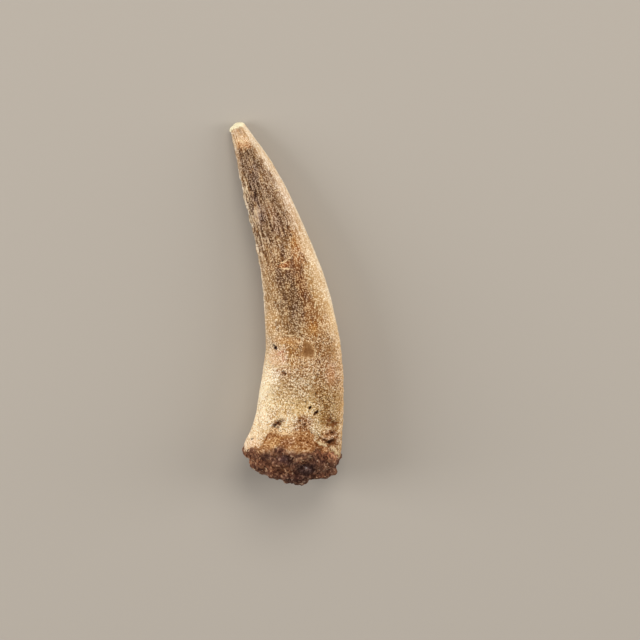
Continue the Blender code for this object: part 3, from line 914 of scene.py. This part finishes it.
def paintTooth():
    material, shader = newMaterial("fossil tooth, worn enamel and root")
    place = placeOf()
    loose = wobble(wobble(place, 1.6, 1.5), 0.45, 0.7, (3, 1, 2))
    unbentAt = readAttribute("unbent", "Vector")
    _, above, along = parts(unbentAt)
    side = readAttribute("side")
    xAt, yAt, _ = parts(place)
    looseX, looseY, _ = parts(loose)
    looseAlong = total(along, calc("SUBTRACT", looseY, yAt))
    looseSide = total(side, product(calc("SUBTRACT", looseX, xAt), 0.20))
    upper = fade(above, -1.6, 0.4)  # the side whose own marks are known
    crown = fade(looseAlong, *toothZones["crown"])

    def lengthTone(name):
        return ramp(looseAlong, 0.0, curveTop, toothPaint[name])

    def zone(name, start=0.0, end=1.0):
        return fade(along, *toothZones[name], start, end)

    def laid(share, name):
        # one of the plain tones laid over the colour so far
        return blend(share, colour, tone(*toothPaint[name]))

    def grain(name, at, detail, shift=None):
        return cloud(at, toothGrain[name][0], detail, 0.6, shift).outputs["Fac"]

    def lit(name, value):
        return spread(value, toothGrain[name][1])

    def dotsOf(name, at):
        size, radius, share, strength = toothGrain[name]
        return product(dots(at, size, radius, share), strength)

    # broad tones: the middle, the side inside the curve, the shoulder, and the rim outside it
    medium = grain("medium", place, 2.0, (9, 2, 5))
    colour = lengthTone("middle")
    colour = blend(fade(looseSide, -0.40, -0.95), colour, lengthTone("inner"))
    shoulder = product(fade(looseSide, 0.2, 0.6), 0.85)
    colour = blend(shoulder, colour, lengthTone("shoulder"))
    for x, y, wide, tall, turn, soft, strength, patchTone in toothPaint["patches"]:
        mask = spot(loose, x, y, wide, tall, turn, soft)
        colour = blend(product(mask, upper, strength), colour, tone(*patchTone))
    rimFrom = alongCurve(looseAlong, toothPaint["rimFrom"])
    rimShare = fade(calc("SUBTRACT", looseSide, rimFrom), -0.16, 0.20)
    colour = blend(rimShare, colour, lengthTone("outer"))
    # a painted highlight along both sides of the outline, and along the inner side near the tip
    edgeHighlight = highest([
        fade(side, 0.89, 0.98, 0.0, 0.75),
        fade(side, -0.93, -0.99, 0.0, 0.75),
        product(fade(side, -0.7, -0.92), zone("tipEdge"), 0.6),
    ])
    colour = laid(product(edgeHighlight, zone("edgeHighlight"), fade(medium, 0.36, 0.50)), "edge")

    # grain of every size, drawn out along the crown and even on the root
    streakAt = shifted(unbentAt, (0, 0, 0), (1, 1, 0.4))
    threadAt = shifted(unbentAt, (5, 1, 2), (1, 1, 0.2))
    blotchAt = shifted(unbentAt, (2, 6, 4), (1, 1, 0.45))
    streaks = grain("streaks", streakAt, 1.0)
    threads = grain("threads", threadAt, 2.0)
    blotches = grain("blotches", blotchAt, 2.0)
    fine = grain("fine", place, 1.0, (4, 4, 1))
    broad = grain("broad", place, 3.0, (1, 8, 3))
    specks = cloud(place, toothGrain["specks"], 1.0, 0.5, (3, 7, 7)).outputs["Fac"]
    sandCells = cells(wobble(place, 0.4, 0.20, (6, 6, 1)), toothGrain["sand"][0])
    sand = sandCells.outputs["Distance"]
    sandTone = parts(sandCells.outputs["Color"])[0]
    enamelAt = wobble(shifted(unbentAt, (1, 1, 1), (1, 1, 0.8)), 0.4, 0.2)
    enamelTone = parts(cells(enamelAt, toothGrain["enamel"][0]).outputs["Color"])[0]

    # where it shows: not on the rim or on worn places, and less towards the tip
    onCrown = product(crown, zone("crownTop"), zone("nearTip", 1.0, 0.7))
    onRoot = inverse(crown)
    innerShare = fade(looseSide, -0.45, -0.9)
    worn = highest([product(spot(loose, *oval, 0.4), share) for *oval, share in toothPaint["smoothSpots"]])
    calm = highest([
        product(rimShare, 0.45),
        product(innerShare, onRoot, zone("calmRoot"), 0.26),
        product(worn, upper),
    ])
    rough = inverse(calm)
    dryness = total(fade(broad, 0.34, 0.62, 0.5, 1.05), product(onCrown, 0.2))
    striated = product(zone("striated", 0.25, 1.0), fade(looseSide, 0.4, -0.7, 0.35, 1.0))

    # stains
    warm = product(fade(blotches, 0.52, 0.68), rough, 0.42)
    stain = blend(crown, tone(*toothPaint["rootStain"]), tone(*toothPaint["goldStain"]))
    colour = blend(warm, colour, stain)
    cool = product(fade(blotches, 0.46, 0.32), onCrown, inverse(rimShare),
                   fade(looseSide, -0.98, -0.75), 0.42)
    colour = laid(cool, "darkStain")

    # speckle, as one number that lightens above 0 and darkens below it
    crownLight = total(
        lit("enamel", enamelTone), dotsOf("crownDots", enamelAt), toothGrain["crownShade"],
        product(lit("streaks", streaks), zone("streaks", 0.40, 1.0)),
        product(lit("threads", threads), striated),
    )
    rootLight = total(
        lit("sand", sandTone), dotsOf("paleGrains", shifted(place, (2, 5, 5))),
        dotsOf("darkGrains", shifted(place, (7, 5, 2))),
    )
    light = total(
        product(crownLight, onCrown), product(rootLight, onRoot), lit("medium", medium),
        product(lit("fine", fine), zone("fine", 0.85, 1.0)),
        product(lit("blotches", blotches), onCrown, zone("blotches", 0.35, 1.0)),
    )
    held = inverse(product(onCrown, zone("paler", 0.32, 0.06)))
    light = highest([light, product(light, held)])  # its darks are held back a little there
    # the relief term is painted shade in the hollows of the fine relief and a painted highlight on its rises
    light = total(
        product(light, rough, dryness), lit("broad", broad),
        product(readAttribute("relief"), toothGrain["relief"]),
        product(spread(blotches, toothGrain["rimBlotches"]), rimShare),
        product(innerShare, onRoot, toothGrain["innerRoot"]),
    )
    palest = calc("SUBTRACT", toothGrain["palest"], product(onCrown, 0.20))
    light = calc("MINIMUM", highest([light, toothGrain["darkest"]]), palest)
    colour = speckled(colour, light)
    colour = blend(fade(light, 0.6, -1.7), colour, toothPaint["deepening"], "MULTIPLY")
    colour = laid(product(fade(specks, 0.40, 0.29), rough, onRoot, 0.80), "shadeBrown")

    # the broken tip
    tipEdge = total(along, spread(medium, 1.4))
    colour = laid(fade(tipEdge, *toothZones["tipFacet"], 0.0, 0.95), "tipFacet")

    # pale and dark lines, painted glints on the flakes, and a painted highlight along the broken rims
    lineAt = wobble(wobble(place, 1.1, 0.9, (7, 3, 3)), 0.35, 0.3, (5, 2, 9))
    lines = highest([spot(lineAt, *line, 0.45) for line in toothPaint["paleLines"]])
    colour = laid(product(lines, upper, fade(specks, 0.34, 0.46), 0.85), "crackAndRimHighlight")
    darkLines = highest([spot(lineAt, *line, 0.45) for line in toothPaint["darkLines"]])
    colour = laid(product(darkLines, upper, 0.60), "darkLine")
    # pale painted glints on the standing enamel flakes
    colour = laid(product(readAttribute("flaky"), fade(threads, 0.46, 0.60), 0.60), "sparkle")
    # the pale line on the broken rims is a painted highlight
    colour = laid(product(readAttribute("rim"), 0.90), "crackAndRimHighlight")

    # pits, and holes too small to model, both darkened with painted shade
    holeAt = wobble(place, 0.3, 0.32, (2, 9, 4))
    shadedHoles = highest([product(spot(holeAt, *oval, 0.35), dark) for *oval, dark in toothPaint["shadedHoles"]])
    shadedHoles = product(shadedHoles, upper)
    hollow = readAttribute("hollow")
    colour = laid(fade(hollow, 0.04, 0.6, 0.0, 0.9), "pitShade")
    colour = laid(highest([fade(hollow, 0.85, 1.0, 0.0, 0.85), product(shadedHoles, 0.95)]), "holeShade")
    plug(colour, shader.inputs["Base Color"])

    # the rim is polished, the crown worn, and the root dry
    gloss = zone("gloss", toothPaint["rootGloss"], toothPaint["crownGloss"])
    gloss = total(gloss, product(fine, 0.2))
    gloss = calc("SUBTRACT", gloss, product(rimShare, toothPaint["rimPolish"]), clamp=True)
    plug(gloss, shader.inputs["Roughness"])
    shader.inputs["IOR"].default_value = 1.5
    shader.inputs["Specular IOR Level"].default_value = toothPaint["specular"]
    addBump(shader, [
        (shadedHoles, -0.2),
        (product(streaks, onCrown, rough), 0.14),
        (product(fine, rough), 0.12),
        (product(sand, onRoot, rough), -0.1),
    ])
    return material


sedimentPaint = {
    # colours of the grains, by a number drawn for each
    "grains": [
        (0, (66, 39, 32)), (0.25, (88, 57, 46)), (0.5, (112, 76, 60)), (0.75, (134, 95, 74)),
        (0.9, (156, 117, 94)), (0.97, (190, 156, 130)), (1, (226, 200, 174)),
    ],
    "crust": (170, 121, 76),
    # the painted highlight along the crust's lip
    "lip": (248, 220, 176),
    # painted shade for the hollows
    "deep": (42, 22, 14),
    # painted highlight for the heights
    "dust": (146, 102, 78),
    # X, Y, half sizes, turn, softness, and shares of red, green and blue there; they tint the sediment's own
    # tones and also paint light and shade on its form
    "tintsAndShading": [
        (-5, 3.9, 1.8, 1, 0.2, 0.6, (1.55, 1.52, 1.38)),
        (1.2, 3.1, 2.4, 1.2, 0.1, 0.6, (0.76, 0.8, 0.92)),
        (-1.5, 2.6, 2.4, 0.7, 0, 0.6, (1.42, 1.36, 1.22)),
        (1.8, 2.7, 1.6, 0.8, 0.1, 0.6, (0.48, 0.56, 0.8)),
        (0.3, 1, 1.6, 0.8, 0, 0.6, (0.8, 0.78, 0.84)),
        (1.9, 4, 1.1, 0.6, 0, 0.6, (0.92, 0.96, 0.9)),
        (-3.6, 4.4, 0.7, 0.5, 0.1, 0.5, (0.72, 0.7, 0.74)),
        (-0.9, 4.1, 0.8, 0.5, 0, 0.5, (0.72, 0.8, 1.15)),
        (0.6, 4.1, 0.7, 0.55, 0.3, 0.5, (1.45, 1.6, 1.55)),
        (-0.6, 3.6, 0.35, 0.3, 0.3, 0.5, (1.45, 1.7, 2)),
        (4.4, 4.8, 1.5, 0.8, -0.3, 0.6, (2, 1.95, 1.75)),
        (4.4, 2.6, 1.4, 0.8, 0.1, 0.6, (0.85, 0.85, 0.85)),
        (-2.5, 6.3, 0.8, 0.9, 0, 0.5, (1.1, 1.14, 1.12)),
        (-0.7, 6.3, 0.9, 0.5, 0.1, 0.5, (0.78, 0.72, 0.76)),
        (2.4, 6.1, 1.7, 0.7, -0.25, 0.5, (0.84, 0.76, 0.72)),
        (-3.2, 7, 0.6, 0.4, 0.1, 0.5, (0.86, 0.8, 0.78)),
    ],
    "largeCells": (0.5, 0.35),  # size, and share in the number drawn for each grain
    "smallCells": (0.24, 0.65),
    "tinyCells": (0.19, 2),  # size and strength on the crust
    "clods": (0.8, 2.6),
    "fine": (0.2, 4.4),
    "grit": 0.16,
    "specular": 0.15,
}


def paintSediment():
    material, shader = newMaterial("dark gritty sediment")
    place = placeOf()
    loose = wobble(place, 0.5, 0.25, (1, 4, 2))
    looser = wobble(place, 1.2, 1.0, (2, 1, 6))
    largeSize, largeShare = sedimentPaint["largeCells"]
    smallSize, smallShare = sedimentPaint["smallCells"]
    small = cells(loose, smallSize)
    largeTone = parts(cells(loose, largeSize).outputs["Color"])[0]
    smallTone = parts(small.outputs["Color"])[1]
    drawn = total(product(largeTone, largeShare), product(smallTone, smallShare))
    colour = ramp(fade(drawn, 0.02, 1.02), 0.0, 1.0, sedimentPaint["grains"])
    clodSize, clodLight = sedimentPaint["clods"]
    heaps = spread(cloud(place, clodSize, 2.0, 0.6, (4, 1, 7)).outputs["Fac"], clodLight)
    colour = speckled(colour, heaps)

    # the thin crust over the root
    fineSize, fineLight = sedimentPaint["fine"]
    tinySize, tinyLight = sedimentPaint["tinyCells"]
    fine = cloud(place, fineSize, 2.0, 0.6, (6, 1, 1)).outputs["Fac"]
    tinyTone = parts(cells(loose, tinySize).outputs["Color"])[0]
    light = total(spread(fine, fineLight), spread(tinyTone, tinyLight), heaps)
    crust = readAttribute("crust")
    colour = blend(crust, colour, speckled(tone(*sedimentPaint["crust"]), light))

    # broad tints of the sediment's own colour and painted light and shade on its form, each over those
    # before it
    tintAndShade = (1.0, 1.0, 1.0, 1.0)
    for x, y, wide, tall, turn, soft, shares in sedimentPaint["tintsAndShading"]:
        tintAndShade = blend(spot(looser, x, y, wide, tall, turn, soft), tintAndShade, (*shares, 1.0))
    colour = addNode("VectorMath", {0: colour, 1: tintAndShade}, operation="MULTIPLY").outputs[0]

    # painted shade in the hollows, a painted highlight on the heights, and a painted highlight along the lip
    # where the crust ends
    relief = readAttribute("relief")
    bare = inverse(product(crust, 0.65))
    low = product(fade(relief, -0.1, -1.0, 0.0, 0.35), bare)
    high = product(fade(relief, 0.1, 0.9, 0.0, 0.3), bare)
    colour = blend(low, colour, tone(*sedimentPaint["deep"]))
    colour = blend(high, colour, tone(*sedimentPaint["dust"]))
    lip = product(readAttribute("lip"), fade(fine, 0.40, 0.55), 0.85)
    colour = blend(lip, colour, tone(*sedimentPaint["lip"]))
    plug(colour, shader.inputs["Base Color"])
    plug(fade(fine, 0.3, 0.7, 0.92, 0.60), shader.inputs["Roughness"])
    grit = cloud(place, sedimentPaint["grit"], 2.0, 0.6, (3, 3, 3)).outputs["Fac"]
    shader.inputs["Specular IOR Level"].default_value = sedimentPaint["specular"]
    addBump(shader, [(small.outputs["Distance"], -0.08), (grit, 0.10)])
    return material


for piece, material, slot, node in (
    (toothPiece, paintTooth(), "fossil_tooth", "tooth"),
    (matrixPiece, paintSediment(), "matrix_sediment", "matrix"),
):
    piece.data.materials.clear()
    piece.data.materials.append(material)
    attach(piece, "root")
    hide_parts(node)
print("painted")

studio = {
    "floorSize": 6,  # metres
    "floorDrop": 0.00004,  # metres below the piece, so that the two don't coincide
    "floorTone": (178, 174, 169),
    "worldTone": (214, 208, 200),
    "worldStrength": 0.55,
    "aim": (0, 0, 0.005),
    # name, place in metres, size in metres, power in watts, colour
    "lights": [
        ("keyLight", (0.10, 0.34, 0.42), (0.30, 0.30), 1.15, (255, 246, 232)),
        ("leftLight", (-0.42, 0.02, 0.20), (0.20, 0.40), 1.45, (255, 248, 238)),
        ("rightLight", (0.42, 0.06, 0.20), (0.20, 0.40), 1.05, (255, 248, 238)),
    ],
}


def buildStudio():
    bpy.ops.object.select_all(action="DESELECT")
    bpy.ops.mesh.primitive_plane_add(size=studio["floorSize"], location=(0, 0, -studio["floorDrop"]))
    floor = bpy.context.object
    floor.name = "studioFloor"
    material, shader = newMaterial("studio floor")
    shader.inputs["Base Color"].default_value = tone(*studio["floorTone"])
    shader.inputs["Roughness"].default_value = 0.9
    shader.inputs["Specular IOR Level"].default_value = 0.2
    floor.data.materials.append(material)
    world = bpy.data.worlds.new("studio")
    world.use_nodes = True
    background = world.node_tree.nodes["Background"]
    background.inputs["Color"].default_value = tone(*studio["worldTone"])
    background.inputs["Strength"].default_value = studio["worldStrength"]
    bpy.context.scene.world = world
    aim = Vector(studio["aim"])
    for name, place, size, power, colour in studio["lights"]:
        lamp = bpy.data.lights.new(name, "AREA")
        lamp.shape = "RECTANGLE"
        lamp.size, lamp.size_y = size
        lamp.energy = power
        lamp.color = tone(*colour)[:3]
        light = bpy.data.objects.new(name, lamp)
        bpy.context.collection.objects.link(light)
        light.location = place
        light.rotation_euler = (aim - Vector(place)).to_track_quat("-Z", "Y").to_euler()


buildStudio()

view = {
    "target": (4.34, -2.1, 5),  # millimetres
    "lean": math.radians(5),
    "width": 84.48,  # millimetres across the picture there
    "lens": 250,
    "sensor": 36,
}


def placeCamera():
    camera = bpy.data.cameras.new("view")
    camera.lens = view["lens"]
    camera.sensor_width = view["sensor"]
    away = view["width"] * view["lens"] / view["sensor"]
    lean = view["lean"]
    target = Vector(view["target"])
    eye = bpy.data.objects.new("view", camera)
    eye.location = (target + Vector((0, math.sin(lean), math.cos(lean))) * away) * mm
    eye.rotation_euler = (-lean, 0, 0)
    camera.clip_start = 0.01
    bpy.context.collection.objects.link(eye)
    bpy.context.scene.camera = eye


placeCamera()
bpy.context.scene.view_settings.view_transform = "Standard"
